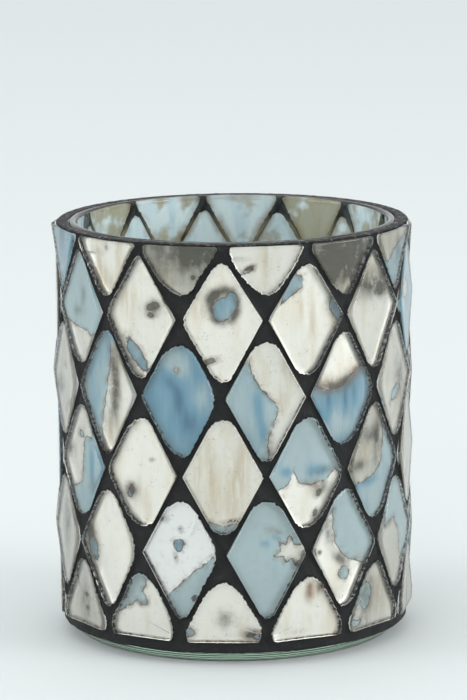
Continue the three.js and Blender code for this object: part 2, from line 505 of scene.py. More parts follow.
def makeRaggedGroup():
    # Depth is how far inside a patch a point is, in millimetres; noise moves the patch's edge.
    # Mask is 1 inside, Rim is 1 close to the edge, and Halo fades out from it on both sides.
    group, entry, result = newGroup(
        "raggedPatch",
        [("Place", "NodeSocketVector", None), ("Depth", "NodeSocketFloat", 0.0),
         ("Ragged", "NodeSocketFloat", 0.5), ("Line", "NodeSocketFloat", 0.12),
         ("Spread", "NodeSocketFloat", 0.8)],
        [("Mask", "NodeSocketFloat"), ("Rim", "NodeSocketFloat"), ("Halo", "NodeSocketFloat")],
    )
    wide = noiseAt(group, entry.outputs["Place"], 0.45, 1.5)
    fine = noiseAt(group, entry.outputs["Place"], 1.9, 4.0, 0.7)
    sway = calc(group, "MULTIPLY", calc(group, "SUBTRACT", wide, 0.5), 3.0)
    bite = calc(group, "MULTIPLY", calc(group, "SUBTRACT", fine, 0.5), 1.7)
    noise = calc(group, "MULTIPLY", calc(group, "ADD", sway, bite), entry.outputs["Ragged"])
    depth = calc(group, "ADD", entry.outputs["Depth"], noise)
    near = calc(group, "ABSOLUTE", depth)
    mask = stepBetween(group, depth, -0.05, 0.05)
    line = calc(group, "MULTIPLY", entry.outputs["Line"], calc(group, "ADD", 0.35, fine))
    away = calc(group, "DIVIDE", near, calc(group, "MAXIMUM", line, 0.001))
    rim = calc(group, "SUBTRACT", 1.0, away, clamp=True)
    halo = calc(group, "SUBTRACT", 1.0, calc(group, "DIVIDE", near, entry.outputs["Spread"]), clamp=True)
    for name, value in (("Mask", mask), ("Rim", rim), ("Halo", halo)):
        group.links.new(value, result.inputs[name])
    return group


def makeStreakGroup():
    # Soft upright streaks, as wet silvering leaves when it runs: noise that is narrow across and long down.
    group, entry, result = newGroup(
        "uprightStreaks",
        [("Place", "NodeSocketVector", None), ("Across", "NodeSocketFloat", 0.5),
         ("Down", "NodeSocketFloat", 0.07)],
        [("Value", "NodeSocketFloat")],
    )
    scales = {0: entry.outputs["Across"], 1: entry.outputs["Down"], 2: 1.0}
    scale = addNode(group, "ShaderNodeCombineXYZ", scales).outputs[0]
    values = {0: entry.outputs["Place"], 1: scale}
    place = addNode(group, "ShaderNodeVectorMath", values, operation="MULTIPLY").outputs[0]
    group.links.new(noiseAt(group, place, 1.0, 3.0, 0.55), result.inputs["Value"])
    return group


def makeSpeckleGroup():
    # Round specks: the distance to the nearest Voronoi point, under a size that a noise varies.
    group, entry, result = newGroup(
        "specks",
        [("Place", "NodeSocketVector", None), ("Scale", "NodeSocketFloat", 1.0),
         ("Size", "NodeSocketFloat", 0.1)],
        [("Mask", "NodeSocketFloat")],
    )
    values = {"Vector": entry.outputs["Place"], "Scale": entry.outputs["Scale"]}
    cell = addNode(group, "ShaderNodeTexVoronoi", values)
    noise = noiseAt(group, entry.outputs["Place"], 0.3, 2.0)
    size = calc(group, "MULTIPLY", entry.outputs["Size"], stepBetween(group, noise, 0.42, 0.7))
    ratio = calc(group, "DIVIDE", cell.outputs["Distance"], calc(group, "MAXIMUM", size, 0.0001))
    mask = calc(group, "SUBTRACT", 1.6, ratio, clamp=True)
    group.links.new(mask, result.inputs["Mask"])
    return group


raggedPatch = makeRaggedGroup()
uprightStreaks = makeStreakGroup()
specks = makeSpeckleGroup()


silvering = {
    "thickness": 0.30,
    "gap": 0.02,  # behind the sheet
    "inset": 0.06,  # from the tile's outline
    "rings": 15,
    "tilt": 0.15,  # the greatest lean of a tile's face, in degrees
    "creamLight": (0.88, 0.865, 0.80, 1),
    "creamWarm": (0.80, 0.745, 0.63, 1),
    "creamGrey": (0.42, 0.415, 0.35, 1),
    "creamCool": (0.90, 0.925, 0.94, 1),
    "tanStain": (0.50, 0.40, 0.25, 1),
    "burnt": (0.23, 0.12, 0.045, 1),
    "paintPale": (0.53, 0.68, 0.72, 1),
    "paintGreen": (0.51, 0.64, 0.63, 1),
    "paintMid": (0.20, 0.43, 0.57, 1),
    "paintDeep": (0.05, 0.17, 0.30, 1),
    "rimBrown": (0.06, 0.045, 0.035, 1),
    "smokeDark": (0.05, 0.049, 0.024, 1),
    "smokeBrown": (0.20, 0.145, 0.10, 1),
    "backPale": (0.80, 0.93, 0.99, 1),
    "backDeep": (0.62, 0.79, 0.87, 1),
    "backTan": (0.40, 0.36, 0.22, 1),
    "backRust": (0.30, 0.24, 0.13, 1),
    "paintedGlow": 0.12,  # painted glow: the backs' paint shines at this strength, standing in for light that the thin silver lets through to the inside
    "wornDepth": 0.06,  # of the lost silver along a tile's edge
    "metallic": 0.66,
    "paintRough": 0.5,  # silver is smoother by 0.2
}

# Stains of the tiles in millimetres about a tile's middle. An ellipse is (kind, x, y, half width, half
# height, turn), and a patch with corners is (kind, [points]). paint is blue paint where the silver is
# lost, silver puts it back, spot is a burnt spot, smoke, tan and burn are soft tarnish, and ring is smoke
# round an ellipse. deep and pale make the blue stronger and weaker. The values before the stains are from
# 0 to 1: deep is how strong the blue is, shade how grey the silver is, and cool how bluish.
tileLooks = {
    (0, 13): {"shade": 0.35, "stains": [
        ("tan", 4, -2, 1.2, 6, 0), ("tan", -3, -4, 1.0, 5, 0), ("smoke", 0, -1, 1.0, 0.8, 0),
        ("tan", 0, -9, 4, 3, 0)]},
    (0, 1): {"shade": 1.0, "stains": [
        ("smoke", 0, -0.5, 12, 6.5, 0), ("smoke", 5, -1, 4, 4, 0), ("tan", -3.5, -5.5, 2, 3, 0),
        ("spot", 3.4, -6.6, 0.6, 0.5, 0)]},
    (0, 2): {"shade": 0.1, "stains": [
        ("paint", -4.3, -5.1, 1.1, 0.6, 25), ("spot", -3.7, -4.5, 1.2, 0.5, 25),
        ("tan", 0.5, -4, 0.8, 6, 0)]},
    (0, 3): {"shade": 1.0, "deep": 0.2, "stains": [
        ("smoke", -1, -2, 12, 10, 0), ("smoke", -2, -4, 1.2, 7, 0), ("smoke", 1, -3, 7, 5, 0),
        ("smoke", 4, -3, 2.5, 8, 0), ("tan", 0.5, -6, 2.6, 7, 0), ("tan", -5, -2, 1.5, 4, 0)]},
    (0, 4): {"shade": 0.6, "deep": 0.5, "stains": [
        ("paint", [(-5, -9), (-3, -6.5), (2, -3.5), (8, -1), (9, -6), (0, -14)]),
        ("smoke", 3, -5, 4, 3, 30), ("tan", -2, -2, 5, 3, 0)]},
    (1, 12): {"shade": 0.1, "deep": 0.2, "stains": [
        ("paint", [(-11, -3), (-5.5, -4.4), (2, -5.6), (7.5, -7.3), (12, -4), (9, 12), (0, 17),
            (-8, 12)]), ("smoke", 0.5, 3, 1.4, 2.5, 0), ("smoke", -2, -1, 2.5, 1.5, 0)]},
    (1, 13): {"shade": 0.35, "deep": 0.6, "stains": [
        ("spot", 3.2, 2.7, 1.9, 1.05, 15), ("spot", 2.6, 0.5, 1.0, 0.6, 0),
        ("smoke", 3, 2.2, 2.2, 1.8, 15), ("paint", -1.4, -9.4, 4.4, 1.5, -53), ("tan", -4, 4, 3, 4, 0)]},
    (1, 1): {"shade": 0.22, "deep": 0.6, "stains": [
        ("paint", [(-1.8, 0.6), (-2.4, 3.0), (-1.2, 4.8), (0.8, 5.4), (2.0, 6.6), (3.4, 6.4),
            (3.6, 4.4), (3.0, 2.2), (1.4, 0.2), (-0.6, -0.4)]), ("ring", 0.5, 3.2, 3.2, 3.8, -10),
        ("smoke", -2.2, 5.4, 1.8, 1.6, 30), ("spot", -2.7, -9.9, 1.5, 0.8, 15),
        ("tan", -5, 2, 1.5, 2, 0)]},
    (1, 2): {"shade": 0.35, "deep": 0.45, "stains": [
        ("paint", [(-8.6, 2.6), (-6.4, 3.0), (-3.6, 5.2), (-0.8, 7.2), (-0.4, 9.6), (-3, 10.5),
            (-9, 6)]), ("paint", [(6.9, 5.0), (8.2, 5.0), (10, 1), (9, -1.8), (7.9, -0.8), (6.6, 1.4)]),
        ("smoke", 7.6, 1.6, 1.6, 3.4, 15), ("tan", 2, -2, 1.2, 8, 0), ("tan", -1, 3, 0.8, 5, 0)]},
    (1, 3): {"shade": 0.1, "stains": [
        ("smoke", -3, 6.4, 6, 3.2, 0), ("smoke", 3.4, 5.6, 4.6, 3.0, 0),
        ("smoke", 4.0, 3.8, 2.5, 1.4, 0), ("tan", 0, 9, 6, 4, 0)]},
    (2, 12): {"shade": 0.45, "deep": 0.1, "stains": [
        ("smoke", 0, 3.3, 1.4, 1, 0), ("smoke", -5.5, -2.6, 4, 2.4, 10), ("smoke", 3, -6, 3, 0.8, 30)]},
    (2, 13): {"shade": 0.2, "deep": 0.5, "stains": [
        ("paint", [(0.6, 18), (0.8, 8), (-0.4, 2), (-1.6, -4), (-2.8, -9), (-2, -15), (-12, -10),
            (-12, 8)]), ("smoke", 2.0, 5, 1.8, 7, 4), ("smoke", 1.5, -3, 1.6, 4.5, -8),
        ("burn", 2.0, 1, 1.1, 5, 4), ("tan", 4, 9, 2.5, 5, 0), ("tan", 0.5, -9, 3, 4, 0),
        ("tan", -8, 0, 1.6, 7, 0)]},
    (2, 1): {"deep": 0.85, "paint": True, "stains": [
        ("deep", -0.4, -0.6, 1.8, 5, 0), ("deep", -3, 4, 2, 3, 20), ("deep", 2, -6, 2.2, 4, -15),
        ("pale", -1.2, 8, 3, 3.4, 0), ("pale", 5, 0, 2.5, 4, 0), ("silver", -1.2, 6.5, 0.42, 0.42, 0),
        ("silver", 8.8, 2.6, 0.9, 1.6, 20)]},
    (2, 2): {"shade": 0.1, "deep": 0.38, "stains": [
        ("paint", [(-3.6, 9), (-3.6, 6.8), (-2.2, 4.2), (-0.4, 1.5), (2.4, -1.3), (3.5, -3.4),
            (2.4, -5.8), (1.0, -9), (0.6, -12), (1.4, -17), (-6, -12), (-12, 0), (-7, 7.6)]),
        ("deep", -1.7, -2.6, 1.2, 4.5, 5), ("deep", -0.5, -9, 1.0, 3, 0),
        ("smoke", 0.8, -10.5, 1.2, 3, 0), ("tan", 3.8, -2, 1.4, 3, 0), ("tan", 5, 4, 1.2, 6, 0)]},
    (2, 3): {"shade": 0.32, "deep": 0.78, "stains": [
        ("paint", [(-12, 2.2), (-7, 1.6), (-3.5, 0.6), (-0.4, 1.0), (2.4, 3.0), (5.0, 5.0), (8.4, 8),
            (12, 2), (2, -18), (-4, -16)]), ("burn", -4.2, 1.2, 4.2, 1.8, 0),
        ("burn", 4.4, 3.8, 3.2, 1.5, 35), ("tan", -4.5, 2.6, 5, 1.8, 0), ("tan", 5, 5, 3.4, 1.8, 35),
        ("smoke", -3, 1.2, 4.5, 1.6, 0), ("smoke", 1.5, 1.8, 3, 1.6, 30),
        ("deep", -4, -1.5, 1.0, 4.5, 0), ("deep", 1.2, -2.4, 0.8, 4, 0), ("deep", 4, -1, 0.8, 3, 0),
        ("pale", -0.5, -8, 4, 4, 0)]},
    (2, 4): {"shade": 0.0, "deep": 0.3, "stains": [
        ("paint", 1.2, -3.6, 2.7, 1.2, 32), ("smoke", 4, 0, 3, 5, 0)]},
    (3, 12): {"shade": 0.1, "deep": 0.4, "stains": [
        ("paint", [(0.0, 4.6), (1.2, 6.2), (4, 6.4), (8, 5), (12, 0), (6, -14), (-4, -14), (-5.5, -7),
            (-1.4, -5.4), (-0.6, -2)]), ("paint", -1.1, 6.7, 1.0, 0.8, 0), ("deep", 3.5, 0, 1.2, 5, 0),
        ("smoke", -7, 2, 2.2, 2.2, 0), ("smoke", 5, -6, 3, 3, 0)]},
    (3, 13): {"shade": 0.05, "deep": 0.7, "stains": [
        ("spot", -3.3, -4.6, 0.8, 1.3, 15), ("paint", -3.6, -5.2, 0.8, 1.1, 0),
        ("smoke", -3.4, -4.6, 1.8, 2, 0), ("spot", 2.5, 3.4, 0.4, 0.3, 0)]},
    (3, 1): {"shade": 0.4, "deep": 0.25, "stains": [
        ("tan", -2.6, -1, 1.4, 8, 6), ("tan", 2.4, -3, 2.2, 8, 0), ("tan", 4.5, 3, 1.4, 6, 0),
        ("tan", -6, 0, 1, 6, 0), ("paint", [(-7, -10.5), (-4, -10.9), (0, -12.4), (3, -11.6), (5, -9.6),
            (3, -15), (-4, -15)]), ("spot", 2.2, -10.8, 1.8, 0.3, 8)]},
    (3, 2): {"shade": 0.0, "deep": 0.22, "stains": [
        ("paint", [(-9.6, -1), (-7.8, -8), (-6.2, -6.6), (-6.9, -3.4), (-4.4, -2.2), (-3.4, 0.8),
            (-2.6, -0.8), (-1.6, -2.6), (1.6, -2.9), (4.2, -2.4), (6.2, -1.4), (7.6, 0.6), (9.6, -1.4),
            (8, 8), (0, 17), (-10, 6)]), ("deep", 3.2, 0.4, 3.4, 1.6, 0),
        ("smoke", 4.4, 0.2, 3, 1.0, 20), ("deep", -5, 0.6, 1.6, 1.4, 0),
        ("spot", 3.4, -5.0, 1.1, 0.7, 50), ("smoke", 4, -4, 2.2, 1.8, 0),
        ("tan", 2.6, -3.4, 1.6, 1.2, 0), ("spot", 2.4, -9.8, 1.0, 0.5, 60)]},
    (3, 3): {"shade": 0.75, "deep": 0.35, "stains": [
        ("paint", [(4.2, 14), (4.6, 6), (4.0, 0), (1.2, -3), (-4, -4.5), (-9, -3), (-4, -14), (4, -14),
            (12, 0)]), ("smoke", 2.2, 5, 1.4, 6, -4), ("smoke", -5, 0, 3, 1.5, 0),
        ("smoke", -1, 7, 3, 2, 0), ("tan", -2, 3, 4, 3, 0), ("deep", -2, -4.4, 4, 1.2, 0)]},
    (4, 12): {"shade": 0.4, "deep": 0.05, "stains": [
        ("smoke", 0, 2, 3, 6, 0)]},
    (4, 13): {"shade": 0.0, "deep": 0.6, "stains": [
        ("paint", -6.2, -1.7, 1.3, 3.1, 12), ("smoke", -6.4, -1, 2, 4, 12),
        ("smoke", -7.4, 2, 1.2, 3, 0)]},
    (4, 1): {"shade": 0.3, "deep": 0.25, "cool": 1.0, "stains": [
        ("paint", -1, 1.8, 1.3, 1.35, 0), ("deep", -1, 1.8, 2, 2, 0),
        ("spot", -0.5, 5.6, 0.55, 0.55, 0), ("spot", -1.7, -1.3, 0.3, 0.55, 20),
        ("paint", -5.4, 8.2, 0.8, 0.6, 0), ("paint", [(11, 1.5), (7.4, -0.9), (5.2, -2.6), (1.6, -5.6),
            (-1.4, -8.2), (-3.6, -10.6), (-2, -17), (4, -15), (11, -4)]),
        ("spot", 2.9, -10.8, 1.4, 0.55, 40)]},
    (4, 2): {"shade": 0.2, "deep": 0.12, "paint": True, "stains": [
        ("silver", [(1.7, -0.8), (3.6, 0.2), (3.4, 2.6), (4.8, 2.0), (5.8, 4.6), (6.6, 2.0), (9.4, 1.4),
            (8.6, -1.6), (7.0, -3.4), (6.4, -1.6), (4.8, -2.4), (4.2, -1.0)]),
        ("deep", -0.4, 2.4, 1.8, 1.2, -15), ("deep", 2.6, 3.6, 2.4, 0.8, -25),
        ("smoke", 6.8, -3, 1.0, 1.2, 0), ("spot", 7.4, -3.0, 0.6, 0.4, 0), ("smoke", 3, 5, 4, 0.8, -20)]},
    (4, 3): {"shade": 0.0, "deep": 0.12, "cool": 0.2, "stains": [
        ("paint", [(-2.6, 17), (-2.6, 10), (-3.0, 5), (-2.0, 1), (-0.4, -1.6), (2.2, -3.6), (6.4, -5.0),
            (12, -2), (10, 8)]), ("paint", 0.5, -6.8, 1.6, 1.6, 0), ("smoke", -4, 4.6, 1.6, 4, 8),
        ("smoke", -0.6, -3.2, 2.5, 1.3, -35), ("spot", -6.9, -0.8, 0.4, 0.4, 0),
        ("tan", 7, -3.6, 3, 1.0, -15)]},
    (4, 4): {"shade": 0.4, "deep": 0.15, "stains": [
        ("paint", [(-12, 3), (-5, 2.2), (0, 3.4), (3, 0), (4, -8), (12, 0), (0, 18)]),
        ("smoke", -3, 3, 4, 1.2, 10)]},
    (5, 12): {"shade": 0.5, "stains": [
        ("spot", 0.3, 4.7, 0.9, 0.6, 0), ("spot", 0.5, 1.5, 0.7, 0.5, 0), ("smoke", 0.4, 3.2, 3, 4, 0)]},
    (5, 13): {"shade": 0.2, "deep": 0.2, "stains": [
        ("paint", [(-9, 2), (-6.6, 3.6), (-5.0, 4.7), (-3.4, 5.2), (-2.2, 6.4), (-1.2, 5.4), (0.4, 5.6),
            (0.6, 7.6), (-0.6, 8.6), (0.4, 10.5), (-0.5, 16), (-8, 10)]),
        ("smoke", -0.8, 5.6, 1.6, 0.6, 0)]},
    (5, 1): {"shade": 0.12, "deep": 0.5, "stains": [
        ("paint", -8.4, -0.4, 1.15, 1.1, 0), ("spot", 6.4, -0.8, 1.4, 0.7, 15),
        ("paint", 7.6, -1.4, 1.0, 0.8, 0), ("smoke", 0, 3, 2, 2, 0), ("smoke", 6.4, -0.6, 2.2, 1.4, 0)]},
    (5, 2): {"shade": 0.0, "stains": [
        ("tan", 0.9, 8.7, 1.7, 2.6, 0), ("tan", 3.7, 9.1, 1.1, 1.8, 0), ("burn", 0.9, 8.3, 1.3, 1.7, 0),
        ("burn", 1.0, 10.2, 0.8, 0.8, 0), ("burn", 3.6, 9.4, 0.8, 1.1, 0),
        ("tan", -2.3, -0.9, 1.8, 0.6, 0)]},
    (5, 3): {"shade": 0.45, "deep": 0.25, "stains": [
        ("paint", -2.5, 5.2, 1.9, 3.4, -12), ("smoke", -2.4, 5.2, 3.2, 4.6, -12),
        ("paint", -6.5, -0.9, 2.6, 0.9, 0), ("tan", 3, 5, 2, 5, 0)]},
}
darkerBacks = {6: 0.45, 7: 1.0, 8: 0.3, 9: 0.4, 10: 0.8}  # top half tiles whose backs are darker and browner


def drawnLook(draw):
    # A look for a tile with none of its own: one of a few kinds of loss, drawn at random.
    pick = draw.uniform
    kind = draw.choice(["clean", "clean", "spot", "side", "painted", "smoky", "tip"])
    look = {"paint": kind == "painted", "shade": pick(0, 0.7), "deep": pick(0.1, 0.85), "stains": []}
    stains = look["stains"]
    if kind in ("spot", "clean"):
        for _ in range(draw.integers(1, 4)):
            size = pick(0.5, 1.4) if kind == "clean" else pick(1.0, 2.8)
            place = (pick(-4, 4), pick(-7, 7), size, size * pick(0.8, 1.5), pick(-40, 40))
            stains.append((draw.choice(["paint", "spot"]),) + place)
            stains.append(("smoke", place[0], place[1], size * 1.5, size * 1.5, 0))
    if kind in ("side", "tip"):
        # a wavy front that runs across the tile, with the paint on one side of it
        turn = pick(-0.5, 0.5) + (math.pi / 2 if kind == "side" else 0) + math.pi * draw.integers(0, 2)
        across = np.linspace(-14, 14, 9)
        front = pick(-1, 5) + pick(-1.6, 1.6, 9)
        x = np.concatenate([across, [14, -14]])
        y = np.concatenate([front, [25, 25]])
        c, s = math.cos(turn), math.sin(turn)
        points = np.column_stack([x * c - y * s, x * s + y * c])
        stains.append(("paint", [tuple(point) for point in points]))
        stains.append(("deep", pick(-4, 4), pick(-4, 4), 1.4, pick(3, 6), 0))
    if kind == "painted":
        stains.append(("silver", pick(-7, 7), pick(-6, 6), pick(1.5, 4), pick(2, 5), 0))
        stains.append(("deep", pick(-3, 3), 0, 1.4, pick(3, 7), 0))
    for _ in range(3 if kind == "smoky" else 1):
        tarnish = draw.choice(["smoke", "tan"])
        stains.append((tarnish, pick(-5, 5), pick(-4, 6), pick(0.8, 2.5), pick(3, 8), 0))
    return look


def insidePolygon(flat, corners):
    # Signed distance to a closed line, positive inside: the least distance to its edges, and whether a ray
    # to the right crosses an odd number of them.
    start = np.array(corners, float)
    edge = np.roll(start, -1, 0) - start
    to = flat[:, None] - start[None]
    share = np.clip((to * edge).sum(2) / (edge**2).sum(1), 0, 1)
    gap = np.sqrt(((to - edge * share[..., None]) ** 2).sum(2)).min(1)
    above = to[..., 1] >= 0
    endAbove = flat[:, None, 1] >= (start + edge)[None, :, 1]
    crossing = start[:, 0] + edge[:, 0] * to[..., 1] / np.where(edge[:, 1] == 0, 1, edge[:, 1])
    crossed = (above != endAbove) & (crossing > flat[:, None, 0])
    return np.where(crossed.sum(1) % 2 == 1, gap, -gap)


def stainFields(flat, look):
    # rho is 0 in the middle of an ellipse and 1 on its edge. The depth inside paint and burnt spots, in
    # millimetres, is (1 - rho) times the smaller half axis. Patches are joined by max and cut by min. The
    # soft stains are sums of exp(-rho squared), and a ring's is exp(-((rho - 1) / 0.3) squared).
    fields = {
        "paint": np.full(len(flat), 6.0 if look.get("paint") else -6.0),
        "spot": np.full(len(flat), -6.0),
        "smoke": np.zeros(len(flat)),
        "tan": np.zeros(len(flat)),
        "burn": np.zeros(len(flat)),
        "deep": np.full(len(flat), look.get("deep", 0.4)),
    }
    for kind, *shape in look["stains"]:
        if len(shape) == 1:
            inside = insidePolygon(flat, shape[0])
        else:
            x, y, halfWidth, halfHeight, turn = shape
            c, s = math.cos(math.radians(turn)), math.sin(math.radians(turn))
            along = (flat[:, 0] - x) * c + (flat[:, 1] - y) * s
            across = -(flat[:, 0] - x) * s + (flat[:, 1] - y) * c
            rho = np.hypot(along / halfWidth, across / halfHeight)
            inside = (1 - rho) * min(halfWidth, halfHeight)
        if kind in ("paint", "spot"):
            fields[kind] = np.maximum(fields[kind], inside)
        elif kind == "silver":
            fields["paint"] = np.minimum(fields["paint"], -inside)
        elif kind == "ring":
            fields["smoke"] += np.exp(-(((rho - 1) / 0.3) ** 2))
        elif kind == "pale":
            fields["deep"] -= 0.6 * np.exp(-rho**2)
        elif kind == "deep":
            fields["deep"] += 0.6 * np.exp(-rho**2)
        else:
            fields[kind] += np.exp(-rho**2)
    return fields


def makeSilverMaterial():
    material, tree, skin = newMaterial("silveredGlass")
    s = silvering
    place = attribute(tree, "tilePlace", "Vector")
    shade = attribute(tree, "shade")
    broad = useGroup(tree, uprightStreaks, {"Place": place, "Across": 0.22, "Down": 0.06}).outputs[0]
    narrow = useGroup(tree, uprightStreaks, {"Place": place, "Across": 0.9, "Down": 0.13}).outputs[0]
    cloud = noiseAt(tree, place, 0.55, 4.0, 0.6)
    # silver: cream, warmer and greyer in soft streaks, and cooler on some tiles
    cream = blendColours(tree, stepBetween(tree, broad, 0.46, 0.72), s["creamLight"], s["creamWarm"])
    veil = calc(tree, "ADD", 0.35, calc(tree, "MULTIPLY", narrow, 0.6))
    cream = stained(tree, cream, shade, veil, s["creamGrey"])
    cream = stained(tree, cream, attribute(tree, "cool"), 0.7, s["creamCool"])
    mottle = calc(tree, "ADD", 0.10, calc(tree, "MULTIPLY", shade, 0.25))
    cream = stained(tree, cream, stepBetween(tree, cloud, 0.52, 0.72), mottle, s["creamGrey"])
    # tarnish, which lies on the paint too
    streaky = stepBetween(tree, narrow, 0.2, 0.62)
    tan = calc(tree, "MULTIPLY", attribute(tree, "tan"), streaky, clamp=True)
    cream = stained(tree, cream, tan, 0.55, s["tanStain"])
    patchy = stepBetween(tree, cloud, 0.25, 0.5)
    burn = calc(tree, "MULTIPLY", attribute(tree, "burn"), patchy, clamp=True)
    cream = stained(tree, cream, burn, 0.8, s["burnt"])
    mixed = calc(tree, "ADD", calc(tree, "MULTIPLY", broad, 0.6), calc(tree, "MULTIPLY", cloud, 0.4))
    drifting = stepBetween(tree, mixed, 0.22, 0.62)
    smoke = calc(tree, "MULTIPLY", attribute(tree, "smoke"), drifting, clamp=True)
    cream = stained(tree, cream, smoke, 0.94, s["smokeDark"])
    depth = attribute(tree, "spotDepth")
    values = {"Place": place, "Depth": depth, "Ragged": 0.3, "Line": 0.22, "Spread": 0.7}
    spot = useGroup(tree, raggedPatch, values)
    cream = stained(tree, cream, spot.outputs["Halo"], 0.5, s["smokeBrown"])
    cream = stained(tree, cream, spot.outputs["Mask"], 0.8, s["smokeDark"])
    pits = useGroup(tree, specks, {"Place": place, "Scale": 1.1, "Size": 0.15}).outputs[0]
    dust = useGroup(tree, specks, {"Place": place, "Scale": 3.1, "Size": 0.3}).outputs[0]
    cream = stained(tree, cream, pits, 0.5, s["smokeDark"])
    cream = stained(tree, cream, dust, 0.4, s["creamGrey"])
    # paint: from pale to deep blue in soft streaks and clouds, greener here and there
    flow = calc(tree, "ADD", calc(tree, "MULTIPLY", broad, 1.1), calc(tree, "MULTIPLY", narrow, 0.35))
    flow = calc(tree, "ADD", calc(tree, "SUBTRACT", flow, 0.72), attribute(tree, "deep"))
    paint = stained(tree, s["paintPale"], stepBetween(tree, cloud, 0.42, 0.68), 0.7, s["paintGreen"])
    paint = blendColours(tree, stepBetween(tree, flow, 0.2, 0.95), paint, s["paintMid"])
    paint = blendColours(tree, stepBetween(tree, flow, 0.85, 1.7), paint, s["paintDeep"])
    paint = stained(tree, paint, smoke, 0.5, s["smokeDark"])
    paint = stained(tree, paint, tan, 0.35, s["tanStain"])
    paint = stained(tree, paint, burn, 0.6, s["burnt"])
    paint = stained(tree, paint, spot.outputs["Mask"], 0.9, s["rimBrown"])
    depth = attribute(tree, "paintDepth")
    values = {"Place": place, "Depth": depth, "Ragged": 0.42, "Line": 0.3, "Spread": 1.3}
    patch = useGroup(tree, raggedPatch, values)
    colour = blendColours(tree, patch.outputs["Mask"], cream, paint)
    halo = calc(tree, "MULTIPLY", patch.outputs["Halo"], stepBetween(tree, cloud, 0.35, 0.65))
    colour = stained(tree, colour, halo, 0.6, s["smokeBrown"])
    line = calc(tree, "MULTIPLY", patch.outputs["Rim"], stepBetween(tree, narrow, 0.3, 0.5))
    colour = stained(tree, colour, line, 0.9, s["rimBrown"])
    # the silver is eaten away along the tile's edge
    finer = addNode(tree, "ShaderNodeVectorMath", {0: place, "Scale": 1.5}, operation="SCALE").outputs[0]
    depth = calc(tree, "SUBTRACT", s["wornDepth"], attribute(tree, "edgeDepth"))
    values = {"Place": finer, "Depth": depth, "Ragged": 0.36, "Line": 0.1, "Spread": 0.5}
    worn = useGroup(tree, raggedPatch, values)
    colour = stained(tree, colour, worn.outputs["Halo"], 0.25, s["smokeBrown"])
    colour = stained(tree, colour, worn.outputs["Mask"], 0.9, s["rimBrown"])
    tree.links.new(colour, skin.inputs["Base Color"])
    bright = calc(tree, "SUBTRACT", 1.0, patch.outputs["Mask"], clamp=True)
    bright = calc(tree, "MULTIPLY", bright, calc(tree, "SUBTRACT", 1.0, smoke, clamp=True))
    tree.links.new(calc(tree, "MULTIPLY", bright, s["metallic"]), skin.inputs["Metallic"])
    rough = calc(tree, "SUBTRACT", s["paintRough"], calc(tree, "MULTIPLY", bright, 0.2))
    tree.links.new(rough, skin.inputs["Roughness"])
    return material


def makeBackMaterial():
    material, tree, skin = newMaterial("tileBackPaint")
    s = silvering
    place = attribute(tree, "tilePlace", "Vector")
    streak = useGroup(tree, uprightStreaks, {"Place": place, "Across": 0.28, "Down": 0.08}).outputs[0]
    colour = blendColours(tree, stepBetween(tree, streak, 0.35, 0.7), s["backPale"], s["backDeep"])
    stain = noiseAt(tree, place, 0.13, 3.0)
    # a tile's own amount turns its back darker and browner, towards tan
    darkeningShift = calc(tree, "MULTIPLY", calc(tree, "SUBTRACT", attribute(tree, "backDarkening"), 0.3), 0.4)
    amount = calc(tree, "ADD", stain, darkeningShift)
    colour = stained(tree, colour, stepBetween(tree, amount, 0.52, 0.66), 0.85, s["backTan"])
    edge = calc(tree, "SUBTRACT", 1.0, calc(tree, "DIVIDE", attribute(tree, "edgeDepth"), 2.2), clamp=True)
    rust = calc(tree, "MULTIPLY", edge, stepBetween(tree, stain, 0.34, 0.55))
    colour = stained(tree, colour, rust, 0.85, s["backRust"])
    tree.links.new(colour, skin.inputs["Base Color"])
    # painted glow: the paint's colour is also emitted, standing in for light let through the silver
    tree.links.new(colour, skin.inputs["Emission Color"])
    skin.inputs["Emission Strength"].default_value = s["paintedGlow"]
    skin.inputs["Roughness"].default_value = 0.55
    return material


silverMaterial = makeSilverMaterial()
backMaterial = makeBackMaterial()


def silverSheet(cell, look, shift):
    # A thin closed sheet inside the tile's outline: rings that shrink to its middle, in front and behind.
    s = silvering
    line = cell["outline"] - outlineNormals(cell["outline"]) * s["inset"]
    count = len(line)
    middle = line.mean(0)
    back = cell["face"] - tileGlass["thickness"]
    shares = np.linspace(1, 0, s["rings"] + 1)[:-1] ** 0.9
    rings = [middle + (line - middle) * share for share in shares]
    flat = np.vstack(rings + [middle[None]])
    total = len(flat)
    front = onTile(cell, flat, back + s["thickness"] + flat @ cell["lean"])
    rear = onTile(cell, flat, back + s["gap"])
    quads = stripFaces(count, len(rings))
    cap = fanFaces((len(rings) - 1) * count, count, total - 1)
    behind = [quads[:, ::-1] + total, cap[:, ::-1] + total, ringFaces(total, 0, count)]
    faces = [face for part in [quads, cap] + behind for face in (part + shift).tolist()]
    slots = np.repeat([0, 1], [len(quads) + len(cap), sum(map(len, behind))])
    stains = stainFields(flat, look)
    values = {
        "tilePlace": np.column_stack([flat, np.full(total, cell["seed"])]),
        "paintDepth": stains["paint"],
        "spotDepth": stains["spot"],
        "smoke": stains["smoke"],
        "tan": stains["tan"],
        "burn": stains["burn"],
        "deep": stains["deep"],
        "edgeDepth": np.concatenate([np.hypot(*(line - ring).T) for ring in rings] + [[9.0]]),
        "shade": np.full(total, look.get("shade", 0.3)),
        "cool": np.full(total, look.get("cool", 0.0)),
        "backDarkening": np.full(total, look["backDarkening"]),
    }
    both = {key: np.concatenate([array, array]) for key, array in values.items()}
    return np.vstack([front, rear]), faces, slots, both


